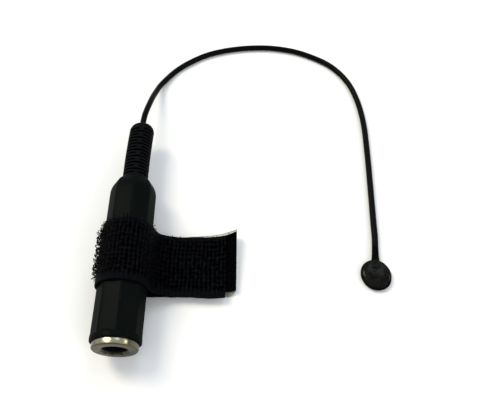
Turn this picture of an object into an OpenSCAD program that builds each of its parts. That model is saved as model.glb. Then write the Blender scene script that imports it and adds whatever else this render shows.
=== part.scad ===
// Contact sensor lead: an inline 6.35 mm socket in a hook tape strap, a thin lead and a
// coated sensor disc. +Y runs along the barrel from the plug opening to the lead, +Z is up.
// The origin is on the barrel's axis, where the parallel bore begins. Millimetres.

/* [Socket insert] */
// Plug bore, for a 6.35 mm plug
bore_d = 6.5; // [6.4:0.05:6.5]
// Depth of the countersink at the mouth
countersink = 0.8; // [0.4:0.1:1]
// Outside diameter of the nose ring
ring_d = 12.9; // [12.4:0.1:13.4]
// How far the nose ring stands out of the cover
nose_out = 2; // [1.2:0.1:3]
// Bevel on the nose ring's front edge
nose_bevel = 0.35; // [0.2:0.05:1]
// Thread diameter that the cover screws onto
thread_d = 11.6; // [11.4:0.1:11.6]
// Advance of the thread for each turn
thread_pitch = 0.75; // [0.5:0.05:0.75]
// Turns that screw the cover fully off the thread
thread_turns = 4; // [3:0.5:5]
// Sheet thickness of the sleeve frame
frame_t = 0.6; // [0.4:0.1:0.7]
// Thickness of the tip contact's spring strip
leaf_t = 0.3; // [0.2:0.05:0.4]

/* [Cover] */
// Distance across the octagon's corners
cover_d = 14.4; // [14.2:0.1:15]
// Length from the front rim to the start of the shoulder
cover_len = 47.1; // [46:0.1:52]
// Length of the domed shoulder
shoulder_len = 5.1; // [4.5:0.1:6.5]
// Distance across corners where the shoulder meets the boot
shoulder_end_d = 9.4; // [9.2:0.1:10]
// Length of the round collar at the front rim
rim_len = 1.4; // [0.8:0.1:2.5]
// Turn of the octagon about the barrel's axis
cover_roll = 11; // [0:1:44]

/* [Strain relief boot] */
// Outside diameter of the boot
boot_d = 8; // [7.6:0.1:8.2]
// Length from the shoulder's end to the boot's end
boot_len = 22.6; // [20:0.1:28]
// Number of slot levels along the boot
slot_count = 15; // [6:1:17]
// Width of one slot
slot_w = 0.6; // [0.4:0.05:0.8]
// Thickness of the web left between two opposite slots
slot_web = 1.5; // [1.2:0.1:4]
// Length of the boot's domed end
boot_dome = 2.6; // [1.5:0.1:3]

/* [Hook tape strap] */
// Width of the tape
tape_w = 19.6; // [16:0.1:20]
// Thickness of the woven ground
ground_t = 0.5; // [0.4:0.05:0.6]
// Height of the hooks
hook_h = 0.8; // [0.5:0.05:1.2]
// Distance between two rows of hooks
hook_pitch = 1.25; // [1:0.05:1.6]
// Width of the plain edge on each side of the hooks
selvedge = 1.8; // [1:0.1:2.5]
// Distance from the front rim to the tape's near edge
strap_from_rim = 16; // [14:0.5:18]
// Reach of the flap from the barrel's axis
flap_reach = 29.4; // [26:0.1:30]

/* [Loop patch] */
// Reach of the patch from the barrel's axis
patch_reach = 32.6; // [32:0.1:34]
// Width of the patch
patch_w = 18.6; // [16:0.1:20]
// Height of the loop pile
pile_h = 1.1; // [0.8:0.05:1.3]
// Thickness of the patch's woven ground
loop_ground_t = 0.45; // [0.35:0.05:0.6]
// Thickness of the patch's adhesive
adhesive_t = 0.25; // [0.1:0.05:0.3]
// Thickness of the release liner
liner_t = 0.12; // [0.1:0.01:0.2]
// Radius that the patch's free end curls to
curl_r = 5; // [4:0.5:8]

/* [Lead] */
// Diameter of the lead's jacket
lead_d = 2; // [1.7:0.05:2.1]
// Number of sides of the lead's tube
lead_sides = 8; // [8:1:12]

/* [Sensor disc] */
// Diameter of the coated disc
disc_d = 9.3; // [8.8:0.1:10]
// Height of the coated disc at its middle
disc_h = 2.5; // [2.2:0.1:2.8]
// Diameter of the brass plate inside
brass_d = 7.4; // [7:0.1:7.8]
// Diameter of the ceramic inside
ceramic_d = 5.8; // [5:0.1:6.4]

/* [Hidden] */

round_fn = 96;
eps = 0.01;
run_gap = 0.08;     // radial clearance of the turning fits

// Stations along the barrel
bore_r = bore_d / 2;
ring_r = ring_d / 2;
thread_r = thread_d / 2;
mouth_y = -countersink;
rim_y = mouth_y + nose_out;
thread_start = rim_y + 0.8;
thread_travel = thread_turns * thread_pitch;
thread_end = thread_start + thread_travel;
pilot_r = 5.3;
frame_y = rim_y + 6.5;
neck_r = 4.4;
lip_r = 4.7;
bush_end = frame_y + 2;

cover_r = cover_d / 2;
cavity_r = thread_r + run_gap;
shoulder_y = rim_y + cover_len;
shoulder_end = shoulder_y + shoulder_len;
shoulder_end_r = shoulder_end_d / 2;

boot_r = boot_d / 2;
boot_end = shoulder_end + boot_len;
boot_bore_r = lead_d / 2 + 0.2;
flange_r = 4.9;
flange_t = 1.6;
boot_wall = 2.4;    // depth of the cover's end wall that the flange bears on
flange_y = shoulder_end - boot_wall - flange_t;

// Contact stack behind the plug's tip
stack_y = rim_y + 29.8;
stack_len = 4.5;
stack_w = 4.8;
strip_z = -4.75;
strip_w = 4.2;
block_z = strip_z + frame_t;
stack_top = 3.5;
lug_top = stack_top + leaf_t;
cap_t = 0.4;
rivet_r = 0.6;
rivet_ys = [stack_y + 1.2, stack_y + stack_len - 1.2];
clamp_y = stack_y + 8.5;
clamp_len = 3;
tail_hole = clamp_y - 2.2;
jacket_start = clamp_y - 0.7;
jacket_gap = 0.02;
lead_r = lead_d / 2;

// Strap: the tape's ring clears the octagon's corners, and its hooks stand on the surface
tape_in = cover_r + 0.1;
tape_mid = tape_in + ground_t / 2;
tape_out = tape_in + ground_t;
table_z = -(tape_out + hook_h);
strap_y = rim_y + strap_from_rim;
liner_top = table_z + liner_t;
adhesive_top = liner_top + adhesive_t;
loop_ground_top = adhesive_top + loop_ground_t;
pile_top = loop_ground_top + pile_h;
lower_mid = pile_top + ground_t / 2;
lower_top = pile_top + ground_t;
glue_t = 0.13;
upper_bottom = lower_top + glue_t;
upper_mid = upper_bottom + ground_t / 2;
upper_top = upper_bottom + ground_t;
hinge_x = 12.45;
hinge_gap = 0.05;
glue_x = 16;
patch_x = hinge_x + 0.15;
patch_y = strap_y + 1.3;
curl_x = flap_reach + 0.3;

// The upper tape's middle line where it leaves the barrel, as [x, z]: down the barrel's
// side, then out to the hinge line, then on to where it lies flat
neck_line = [
    [tape_mid, 0.4], [tape_mid, 0], [7.85, -1.2], [8.3, -2.4], [8.9, -3.5],
    [9.9, -4.2], [11.2, -4.75], [hinge_x - hinge_gap, -5.1]
];
settle_line = [
    [hinge_x + hinge_gap, -5.13], [13.6, -5.45], [14.8, upper_mid + 0.05],
    [glue_x, upper_mid], [flap_reach, upper_mid]
];
under_angle = -60;
under_line = [
    [tape_mid * cos(under_angle), tape_mid * sin(under_angle)],
    [4.7, lower_mid], [6, lower_mid], [hinge_x - hinge_gap, lower_mid]
];
row_step = 360 * hook_pitch / (2 * PI * tape_out);

// The lead's middle line: straight out of the boot, down to the surface, round a wide
// arch and back to the sensor disc
lead_z = table_z + lead_r;
neck_z = lead_z + 0.12;
disc_at = [75.2, 24.7];
neck_from = [76.05, 34.4];
lead_route = [
    [0, boot_end, 0], [0, boot_end + 1.6, 0], [0.05, boot_end + thread_travel + 0.2, 0],
    [0.85, 84, -0.6], [1.4, 88, -1.75], [1.9, 92, -3.35],
    [2.7, 96.5, -5.2], [4.15, 101.5, -6.8], [8.2, 108, lead_z], [13, 112.5, lead_z],
    [19.5, 116.7, lead_z], [26.3, 119.2, lead_z], [32.9, 120.5, lead_z], [39.5, 120.9, lead_z],
    [46, 120.6, lead_z], [53.5, 119, lead_z], [60, 116.3, lead_z], [66.2, 112.3, lead_z],
    [70.7, 107.3, lead_z], [73.8, 101.8, lead_z], [75.6, 96, lead_z], [76.8, 89.5, lead_z],
    [77.4, 82, lead_z], [77.4, 74, lead_z], [77.25, 66, lead_z], [77, 58, lead_z],
    [76.75, 50, lead_z], [76.5, 43, lead_z + 0.04], [76.36, 38, neck_z - 0.01],
    [neck_from.x, neck_from.y, neck_z]
];
lead_steps = 2;
neck_angle = atan2(neck_from.x - disc_at.x, neck_from.y - disc_at.y);
jacket_end_len = 5.6;

// Sensor stack inside the coating
plate_t = 0.25;
brass_z = table_z + 0.25;
ceramic_z = brass_z + plate_t;
dots_z = ceramic_z + plate_t;
dot_h = 0.4;
core_dot = [disc_at.x - 0.5, disc_at.y + 1.6];
screen_dot = [disc_at.x + 0.6, disc_at.y + 3.25];

// ---- shared geometry ----

// Stands what is drawn along +Z on +Y instead
module along_y(y = 0) {
    translate([0, y, 0]) rotate([-90, 0, 0]) children();
}

// Extrudes an X-Z section along +Y
module strip_y(y, len) {
    translate([0, y + len, 0]) rotate([90, 0, 0]) linear_extrude(len) children();
}

// Outline from its right half, as [x, y] points from one end to the other
module mirrored_outline(half) {
    polygon(concat(half, [for (i = [len(half) - 1 : -1 : 0]) [-half[i].x, half[i].y]]));
}

// Side normal of a flat path at point i
function path_normal(p, i) =
    let (a = p[max(i - 1, 0)], b = p[min(i + 1, len(p) - 1)], d = (b - a) / norm(b - a))
    [-d.y, d.x];

// Outline of a strip of thickness t that follows a flat path
function ribbon(p, t) = concat(
    [for (i = [0 : len(p) - 1]) p[i] + path_normal(p, i) * t / 2],
    [for (i = [len(p) - 1 : -1 : 0]) p[i] - path_normal(p, i) * t / 2]
);

// Smooth curve through points, n steps for each span
function spline_at(a, b, c, d, t) =
    0.5 * (2 * b + (c - a) * t + (2 * a - 5 * b + 4 * c - d) * t * t
    + (3 * b - a - 3 * c + d) * t * t * t);
function smooth(p, n) = concat(
    [for (i = [0 : len(p) - 2], k = [0 : n - 1])
        spline_at(p[max(i - 1, 0)], p[i], p[i + 1], p[min(i + 2, len(p) - 1)], k / n)],
    [p[len(p) - 1]]
);

// Round tube of radius r along a 3-D path that never runs upright
module tube(p, r, sides) {
    last = len(p) - 1;
    rings = [for (i = [0 : last])
        let (
            d = p[min(i + 1, last)] - p[max(i - 1, 0)],
            side = cross(d, [0, 0, 1]) / norm(cross(d, [0, 0, 1])),
            up = cross(side, d) / norm(d)
        )
        for (k = [0 : sides - 1])
            p[i] + r * (cos(360 * k / sides) * side + sin(360 * k / sides) * up)];
    walls = [for (i = [0 : last - 1], k = [0 : sides - 1])
        let (a = i * sides + k, b = i * sides + (k + 1) % sides)
        each [[a, b, b + sides], [a, b + sides, a + sides]]];
    caps = [[for (k = [sides - 1 : -1 : 0]) k], [for (k = [0 : sides - 1]) last * sides + k]];
    polyhedron(rings, concat(walls, caps));
}

// Octagonal solid along +Y through stations of [y, corner radius]
module octagon_loft(stations, roll) {
    last = len(stations) - 1;
    points = [for (s = stations, k = [0 : 7])
        [s[1] * sin(roll + 45 * k), s[0], s[1] * cos(roll + 45 * k)]];
    walls = [for (i = [0 : last - 1], k = [0 : 7])
        [8 * i + k, 8 * (i + 1) + k, 8 * (i + 1) + (k + 1) % 8, 8 * i + (k + 1) % 8]];
    caps = [[for (k = [0 : 7]) k], [for (k = [7 : -1 : 0]) 8 * last + k]];
    polyhedron(points, concat(walls, caps));
}

// ---- socket insert ----

// Turned bush: countersunk bore, bevelled ring, thread, plain pilot and a staked neck
module nose_bush() {
    relief = 0.3;
    color("silver") along_y() rotate_extrude($fn = round_fn) polygon([
        [bore_r, 0], [bore_r + countersink, mouth_y],
        [ring_r - nose_bevel, mouth_y], [ring_r, mouth_y + nose_bevel], [ring_r, rim_y],
        [thread_r - relief, rim_y], [thread_r - relief, thread_start - relief],
        [thread_r, thread_start], [thread_r, thread_end - relief], [thread_r - relief, thread_end],
        [pilot_r, thread_end], [pilot_r, frame_y], [neck_r, frame_y], [neck_r, frame_y + frame_t],
        [lip_r, frame_y + frame_t + 0.1], [lip_r, frame_y + frame_t + 0.4],
        [neck_r, bush_end], [bore_r + 0.2, bush_end], [bore_r, bush_end - 0.2]
    ]);
}

// Pressed ring, staked on the bush's neck, with its floor strip bent back along the plug
module sleeve_frame() {
    ring_out = 5.5;
    low = strip_z - frame_t;
    strip_end = stack_y + stack_len;
    color("gainsboro") difference() {
        union() {
            along_y(frame_y) cylinder(r = ring_out, h = frame_t, $fn = round_fn);
            translate([-strip_w / 2, frame_y, low]) cube([strip_w, strip_end - frame_y, frame_t]);
        }
        along_y(frame_y - 1) cylinder(r = neck_r, h = 3, $fn = round_fn);
        for (y = rivet_ys)
            translate([0, y, low - 1]) cylinder(r = rivet_r, h = 3, $fn = 32);
    }
}

// Pressed lug that is riveted on the strip, steps up to the lead and folds round its jacket
module cable_clamp() {
    tail_w = 2.4;
    clamp_top = -lead_r - jacket_gap;
    clamp_low = clamp_top - frame_t;
    clamp_end = clamp_y + clamp_len;
    step_y = stack_y + stack_len + 0.3;
    side_view = [
        [stack_y, strip_z], [step_y, strip_z], [clamp_y - 1.5, clamp_low],
        [clamp_end, clamp_low], [clamp_end, clamp_top],
        [clamp_y - 1.7, clamp_top], [step_y - 0.2, block_z], [stack_y, block_z]
    ];
    half_plan = [
        [strip_w / 2, stack_y], [strip_w / 2, stack_y + stack_len], [tail_w / 2, clamp_y - 1],
        [tail_w / 2, clamp_end]
    ];
    color("gainsboro") difference() {
        union() {
            intersection() {
                rotate([90, 0, 90]) translate([0, 0, -3]) linear_extrude(6) polygon(side_view);
                translate([0, 0, -6]) linear_extrude(6) mirrored_outline(half_plan);
            }
            clamp_ears();
        }
        for (y = rivet_ys)
            translate([0, y, strip_z - 1]) cylinder(r = rivet_r, h = 3, $fn = 32);
    }
}

// Two pairs of ears that fold round the jacket and leave a slit on top
module clamp_ears() {
    slit = 0.6;
    split = 0.4;
    difference() {
        along_y(clamp_y) cylinder(r = lead_r + frame_t, h = clamp_len, $fn = 48);
        along_y(clamp_y - 1) cylinder(r = lead_r + jacket_gap, h = clamp_len + 2, $fn = 48);
        translate([-slit / 2, clamp_y - 1, 0]) cube([slit, clamp_len + 2, 3]);
        translate([-2, clamp_y + (clamp_len - split) / 2, 0.2]) cube([4, split, 3]);
    }
}

// Moulded block between the clamp and the tip lug, with side ribs and a dimple for the
// plug's point
module insulator_block() {
    height = stack_top - block_z;
    dimple_r = 2;
    dimple_depth = 0.5;
    color("saddlebrown") difference() {
        union() {
            translate([-stack_w / 2, stack_y, block_z]) cube([stack_w, stack_len, height]);
            for (side = [-1, 1])
                translate([side * stack_w / 2 - 0.4, stack_y + 1.8, block_z + 0.8])
                    cube([0.8, 0.9, height - 1.6]);
        }
        for (y = rivet_ys)
            translate([0, y, block_z - 1]) cylinder(r = rivet_r, h = height + 2, $fn = 32);
        along_y(stack_y - eps) cylinder(r = dimple_r, h = dimple_depth, $fn = 48);
    }
}

// Solder tail of the tip contact, held in the stack clear of the rivets
module tip_lug() {
    tail_end = tail_hole + 1;
    shoulder = stack_y + stack_len;
    color("goldenrod") difference() {
        translate([0, 0, stack_top]) linear_extrude(leaf_t) mirrored_outline([
            [1.9, stack_y], [1.9, shoulder - 0.4], [0.9, shoulder + 0.8],
            [0.9, tail_end - 0.4], [0.5, tail_end]
        ]);
        for (y = rivet_ys)
            translate([0, y, stack_top - 1]) cylinder(r = rivet_r + 0.4, h = 3, $fn = 32);
        translate([0, tail_hole, stack_top - 1]) cylinder(r = 0.35, h = 3, $fn = 24);
    }
}

// Cap that keeps the rivet heads off the tip lug
module top_insulator() {
    color("tan") difference() {
        translate([-stack_w / 2, stack_y, lug_top]) cube([stack_w, stack_len, cap_t]);
        for (y = rivet_ys)
            translate([0, y, lug_top - 1]) cylinder(r = rivet_r, h = 3, $fn = 32);
    }
}

// Two rivets through cap, block, clamp and frame
module rivets() {
    low = strip_z - frame_t;
    high = lug_top + cap_t;
    color("silver") for (y = rivet_ys)
        translate([0, y, 0]) rotate_extrude($fn = 32) polygon([
            [0, low - 0.25], [0.9, low - 0.25], [0.9, low], [rivet_r, low],
            [rivet_r, high], [1, high], [0.8, high + 0.35], [0, high + 0.45]
        ]);
}

// Spring strip whose bend rests in the groove behind the plug's tip
module tip_contact() {
    root = stack_y - 0.1;
    mid = stack_top + leaf_t / 2;
    bend_z = 2.55;
    bend = [
        [root, mid], [root - 2.6, mid], [root - 4.7, bend_z], [root - 6.8, mid + 0.05],
        [root - 8.1, mid + 0.6]
    ];
    half_plan = [[1.7, root + 1], [1.7, root - 2.6], [1.1, root - 9]];
    color("goldenrod") intersection() {
        rotate([90, 0, 90]) translate([0, 0, -3]) linear_extrude(6) polygon(ribbon(bend, leaf_t));
        linear_extrude(8) mirrored_outline(half_plan);
    }
}

// ---- wiring inside the cover ----

core_r = 0.35;
strand_r = 0.2;
screen_r = 0.3;
solder_r = 0.6;
core_top = 2.4;
strand_top = lug_top + 0.2;
core_line = [
    [0, jacket_start, core_r], [0, jacket_start - 0.2, core_r], [0, jacket_start - 1, 0.7],
    [0, jacket_start - 1.7, 1.5], [0, tail_hole, core_top]
];
screen_line = [
    [0, jacket_start, -0.4], [0, jacket_start - 0.2, -0.4], [0.5, jacket_start - 0.9, -0.65],
    [0.5, jacket_start - 1.6, -1.1]
];

// Insulated core from the jacket's end up towards the tip lug
module core_insulation() {
    color("ivory") tube(core_line, core_r, 8);
}

// Bare end of the core through the lug's hole
module core_strands() {
    start = core_top + 0.05;
    color("orange") translate([0, tail_hole, start])
        cylinder(r = strand_r, h = strand_top - start, $fn = 24);
}

// Twisted screen from the jacket's end down to the frame
module screen_pigtail() {
    color("orange") tube(screen_line, screen_r, 8);
}

// Solder dome over the strands, on top of the lug
module tip_solder() {
    color("lightgray") difference() {
        translate([0, tail_hole, lug_top]) sphere(r = solder_r, $fn = 32);
        tip_lug();
        core_strands();
        translate([-2, tail_hole - 2, lug_top - 2]) cube([4, 4, 2]);
    }
}

// Solder between the screen's end and the clamp
module sleeve_solder() {
    end = screen_line[len(screen_line) - 1];
    color("lightgray") difference() {
        translate([end.x, end.y - 0.2, end.z - 0.35]) sphere(r = solder_r, $fn = 32);
        cable_clamp();
        screen_pigtail();
    }
}

// Jacket from the clamp through the boot to its end
module lead_tail() {
    color("#2a2a2a") along_y(jacket_start)
        cylinder(r = lead_r, h = boot_end - jacket_start, $fn = 48);
}

// ---- cover and boot ----

// Octagonal shell: round front rim, flat facets that run on over the shoulder, bored for
// the thread, the contact stack and the boot's flange
module cover() {
    shoulder = [for (a = [0 : 15 : 90]) [
        shoulder_y + shoulder_len * sin(a),
        shoulder_end_r + (cover_r - shoulder_end_r) * pow(cos(a), 1.2)
    ]];
    rim_end = rim_y + rim_len;
    lead_in = 0.4;
    seat_y = flange_y - 0.1;
    seat_end = flange_y + flange_t;
    color("#30322f") difference() {
        union() {
            octagon_loft(concat([[rim_y + 0.5, cover_r]], shoulder), cover_roll);
            along_y() rotate_extrude($fn = round_fn) polygon([
                [0, rim_y], [cover_r - 0.25, rim_y], [cover_r, rim_y + 0.25],
                [cover_r, rim_end], [cover_r * cos(22.5) - 0.1, rim_end + 1], [0, rim_end + 1]
            ]);
        }
        along_y() rotate_extrude($fn = round_fn) polygon([
            [0, rim_y - 1], [cavity_r + lead_in, rim_y - 1], [cavity_r + lead_in, rim_y],
            [cavity_r, rim_y + lead_in], [cavity_r, shoulder_y - 0.2],
            [flange_r + 0.2, seat_y], [flange_r + 0.2, seat_end],
            [boot_r + run_gap, seat_end], [boot_r + run_gap, shoulder_end + 1], [0, shoulder_end + 1]
        ]);
    }
}

// Moulded boot: flange inside the cover, slots on alternate sides, domed end
module strain_relief_boot() {
    root_len = 1.5;
    first_slot = shoulder_end + root_len;
    pitch = (boot_len - root_len - boot_dome) / slot_count;
    dome = [for (a = [0 : 15 : 90]) [
        1.7 + (boot_r - 1.7) * cos(a), boot_end - boot_dome + boot_dome * sin(a)
    ]];
    color("#1c1d22") difference() {
        along_y() rotate_extrude($fn = round_fn) polygon(concat(
            [[0, flange_y], [flange_r, flange_y], [flange_r, flange_y + flange_t - eps],
                [boot_r, flange_y + flange_t - eps]],
            dome, [[0, boot_end]]
        ));
        along_y(flange_y - 1) cylinder(r = boot_bore_r, h = boot_end, $fn = 48);
        rotate([0, cover_roll, 0]) for (i = [0 : slot_count - 1], side = [0, 180])
            rotate([0, side + 90 * ((i + 1) % 2), 0])
                translate([-6, first_slot + i * pitch, slot_web / 2]) cube([12, slot_w, 6]);
    }
}

// ---- hook tape strap ----

// One row of hooks along Y that stands on [x, z] and leans by an angle from upright
module hook_row(x, z, angle) {
    row_t = 0.4;
    translate([x, strap_y + selvedge, z]) rotate([0, angle, 0])
        translate([-row_t / 2, 0, 0]) cube([row_t, tape_w - 2 * selvedge, hook_h]);
}

// Rows of hooks on the outer side of a strip that follows a flat path, one for each of the
// path's segments from first to last
module hook_rows_along(p, t, first, last) {
    for (i = [first : last])
        let (
            a = p[i] + path_normal(p, i) * t / 2,
            b = p[i + 1] + path_normal(p, i + 1) * t / 2,
            mid = (a + b) / 2
        )
            hook_row(mid.x, mid.y, -atan2(b.y - a.y, b.x - a.x));
}

// Tape round the barrel, open at the lower right where both ends leave for the flap
module strap_collar() {
    color("#16171c") strip_y(strap_y, tape_w) union() {
        difference() {
            circle(r = tape_out, $fn = round_fn);
            circle(r = tape_in, $fn = round_fn);
            polygon([[0, 0], [20, 0], [20, -20], [20 * cos(under_angle), 20 * sin(under_angle)]]);
        }
        polygon(ribbon(neck_line, ground_t));
        polygon(ribbon(under_line, ground_t));
    }
}

// The collar's rows of hooks: round the ring, down the neck and under the inner end
module collar_hooks() {
    rows = floor((360 + under_angle) / row_step) - 1;
    below = 3;
    color("#0f1016") {
        for (i = [-below : rows - below])
            let (a = 180 + i * row_step)
                hook_row(tape_out * sin(a), tape_out * cos(a), a);
        hook_rows_along(neck_line, ground_t, 1, 4);
        for (x = [5.6 : hook_pitch : 10]) hook_row(x, pile_top, 180);
    }
}

// Outer layer of the flap
module flap_upper() {
    color("#1b1d24") strip_y(strap_y, tape_w) polygon(ribbon(settle_line, ground_t));
}

// The outer layer's rows of hooks
module flap_hooks() {
    end_gap = 0.6;
    flat_from = glue_x + 0.25;
    rows = floor((flap_reach - end_gap - flat_from) / hook_pitch);
    color("#12131a") {
        hook_rows_along(settle_line, ground_t, 1, 2);
        for (i = [0 : rows]) hook_row(flap_reach - end_gap - i * hook_pitch, upper_top, 0);
    }
}

// Inner layer of the flap, hooks down in the loop pile
module flap_lower() {
    x = hinge_x + hinge_gap;
    color("#191a1f") translate([x, strap_y, pile_top]) cube([flap_reach - x, tape_w, ground_t]);
}

// Glue between the two layers
module flap_adhesive() {
    color("#4a4a48") translate([glue_x, strap_y + 0.3, lower_top])
        cube([flap_reach - 0.3 - glue_x, tape_w - 0.6, glue_t]);
}

// ---- loop patch ----

// Section of one layer of the patch, from z0 to z1, flat and then curled up at its end, with
// the curl run on by some degrees
module patch_section(z0, z1, more = 0) {
    centre_z = table_z + curl_r;
    sweep = asin((patch_reach - curl_x) / curl_r);
    arc = concat([for (k = [0 : 6]) sweep * k / 6], [sweep + more + eps]);
    last = len(arc) - 1;
    polygon(concat(
        [[patch_x, z1], [patch_x, z0]],
        [for (a = arc) [curl_x + (centre_z - z0) * sin(a), centre_z - (centre_z - z0) * cos(a)]],
        [for (k = [last : -1 : 0])
            [curl_x + (centre_z - z1) * sin(arc[k]), centre_z - (centre_z - z1) * cos(arc[k])]]
    ));
}

module loop_patch() {
    color("#202227") strip_y(patch_y, patch_w) patch_section(adhesive_top, pile_top);
}

module patch_adhesive() {
    color("#b8b29c") strip_y(patch_y + 0.1, patch_w - 0.2) patch_section(liner_top, adhesive_top);
}

// Paper that is cut a little larger than the patch
module release_liner() {
    near_lap = 0.7;
    far_lap = 1;
    end_lap = 2.5;
    color("#cfc8b4") strip_y(patch_y - near_lap, patch_w + near_lap + far_lap)
        patch_section(table_z, liner_top, end_lap);
}

// ---- lead and sensor disc ----

module lead() {
    color("#2a2a2a") tube(smooth(lead_route, lead_steps), lead_r, lead_sides);
}

// Places what is drawn along +Z so that it runs from the lead's end to the disc's middle
module along_neck() {
    translate([neck_from.x, neck_from.y, neck_z]) rotate([0, 0, -neck_angle]) rotate([90, 0, 0])
        children();
}

// Jacket's end inside the coating
module lead_end() {
    color("#2a2a2a") along_neck() cylinder(r = lead_r, h = jacket_end_len, $fn = 48);
}

// Half outline of the coated disc: flat foot, full edge, low crown
disc_profile = let (edge_r = 0.7, foot_r = disc_d / 2 - edge_r, edge_z = 0.9) concat(
    [[0, 0], [foot_r, 0]],
    [for (a = [15 : 15 : 90]) [foot_r + edge_r * sin(a), edge_z * (1 - cos(a))]],
    [for (a = [10 : 10 : 90])
        [disc_d / 2 * pow(cos(a), 0.7), edge_z + (disc_h - edge_z) * pow(sin(a), 0.8)]]
);

// Half outline of the coating's neck: a skin over the jacket that swells into the disc
neck_profile = let (skin = 0.05, swell_y = 2.4, nose_y = 6.2, nose_r = 1.35) concat(
    [[0, 0], [lead_r + skin, 0], [lead_r + 2 * skin, swell_y]],
    [for (a = [0 : 15 : 90]) [nose_r * cos(a), nose_y + 2 * nose_r * sin(a)]]
);

// Dipped coating over disc and lead end, hollow only round the two joints
module disc_coating() {
    pocket_low = ceramic_z - 0.1;
    pocket_high = dots_z + 0.9;
    pocket_y = [core_dot.y - 0.8, neck_from.y - jacket_end_len + 0.2];
    half_w = 1.1;
    clear_z = 0.02;
    color("#2b2f2c") difference() {
        union() {
            translate([disc_at.x, disc_at.y, table_z]) rotate_extrude($fn = 64) polygon(disc_profile);
            intersection() {
                along_neck() rotate_extrude($fn = 48) polygon(neck_profile);
                translate([disc_at.x - disc_d, disc_at.y - disc_d, table_z + clear_z])
                    cube([2 * disc_d, 2 * disc_d, 2 * disc_h]);
            }
        }
        lead_end();
        brass_plate();
        ceramic_disc();
        translate([disc_at.x - half_w, pocket_y[0], pocket_low])
            cube([2 * half_w, pocket_y[1] - pocket_y[0], pocket_high - pocket_low]);
    }
}

module brass_plate() {
    color("gold") translate([disc_at.x, disc_at.y, brass_z])
        cylinder(r = brass_d / 2, h = plate_t, $fn = 64);
}

module ceramic_disc() {
    color("whitesmoke") translate([disc_at.x, disc_at.y, ceramic_z])
        cylinder(r = ceramic_d / 2, h = plate_t, $fn = 64);
}

// Two flat joints: the core on the ceramic, the screen on the brass plate's edge
module disc_solder() {
    color("lightgray") {
        translate([core_dot.x, core_dot.y, dots_z])
            cylinder(r1 = 0.6, r2 = 0.4, h = dot_h, $fn = 24);
        translate([screen_dot.x, screen_dot.y, ceramic_z])
            cylinder(r1 = 0.35, r2 = 0.25, h = dot_h, $fn = 24);
    }
}

// The two wires from the jacket's end, each down to its joint
module disc_wires() {
    wire_r = 0.12;
    start_y = neck_from.y - jacket_end_len * cos(neck_angle) - 0.05;
    core_z = dots_z + dot_h + wire_r + 0.01;
    color("orange") {
        tube([
            [core_dot.x + 0.6, start_y, lead_z + 0.45], [core_dot.x + 0.4, start_y - 1, lead_z + 0.5],
            [core_dot.x, core_dot.y + 0.1, core_z]
        ], wire_r, 6);
        tube([
            [screen_dot.x, start_y, lead_z + 0.05], [screen_dot.x, screen_dot.y + 0.35, lead_z]
        ], wire_r, 6);
    }
}

nose_bush();
sleeve_frame();
cable_clamp();
insulator_block();
tip_lug();
top_insulator();
rivets();
tip_contact();
tip_solder();
sleeve_solder();
core_insulation();
core_strands();
screen_pigtail();
lead_tail();
cover();
strain_relief_boot();
strap_collar();
collar_hooks();
flap_upper();
flap_hooks();
flap_lower();
flap_adhesive();
loop_patch();
patch_adhesive();
release_liner();
lead();
lead_end();
disc_coating();
brass_plate();
ceramic_disc();
disc_solder();
disc_wires();
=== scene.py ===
import math
import random

import bpy
from mathutils import Matrix, Vector, noise


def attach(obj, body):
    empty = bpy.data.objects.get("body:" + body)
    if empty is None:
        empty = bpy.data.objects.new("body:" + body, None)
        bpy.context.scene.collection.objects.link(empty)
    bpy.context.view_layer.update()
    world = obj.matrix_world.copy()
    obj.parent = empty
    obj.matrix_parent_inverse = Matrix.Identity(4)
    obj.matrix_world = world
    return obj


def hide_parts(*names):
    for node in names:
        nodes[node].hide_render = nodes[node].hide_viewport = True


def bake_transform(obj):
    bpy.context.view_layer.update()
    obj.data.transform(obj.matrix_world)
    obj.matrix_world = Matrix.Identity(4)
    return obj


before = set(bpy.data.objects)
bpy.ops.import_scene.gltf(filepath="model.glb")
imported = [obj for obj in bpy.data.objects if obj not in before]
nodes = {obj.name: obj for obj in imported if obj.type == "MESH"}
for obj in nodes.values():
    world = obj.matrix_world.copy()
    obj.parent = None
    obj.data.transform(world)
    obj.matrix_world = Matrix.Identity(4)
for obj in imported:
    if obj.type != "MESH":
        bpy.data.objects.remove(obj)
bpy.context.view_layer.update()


# ---- nose bush ----
# Turned from brass bar and nickel plated: a countersunk bore that takes the plug, a bevelled
# ring that stands out of the cover, a fine thread for the cover and a neck that is staked
# over the frame. Plugs have left dark wear round its mouth.

mm = 0.001
bore_radius, ring_radius = 3.25, 6.45
thread_pitch, thread_turns = 0.75, 3.1


class Level:
    """A number that varies over a surface. Sums on it add Math nodes to its finish."""

    def __init__(self, finish, socket):
        self.finish, self.socket = finish, socket

    def maths(self, operation, first, second):
        return self.finish.node("Math", {"operation": operation}, {0: first, 1: second})

    def __add__(self, other):
        return self.maths("ADD", self, other)

    def __sub__(self, other):
        return self.maths("SUBTRACT", self, other)

    def __rsub__(self, other):
        return self.maths("SUBTRACT", other, self)

    def __mul__(self, other):
        return self.maths("MULTIPLY", self, other)

    def __pow__(self, other):
        return self.maths("POWER", self, other)

    __radd__, __rmul__ = __add__, __mul__


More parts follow.
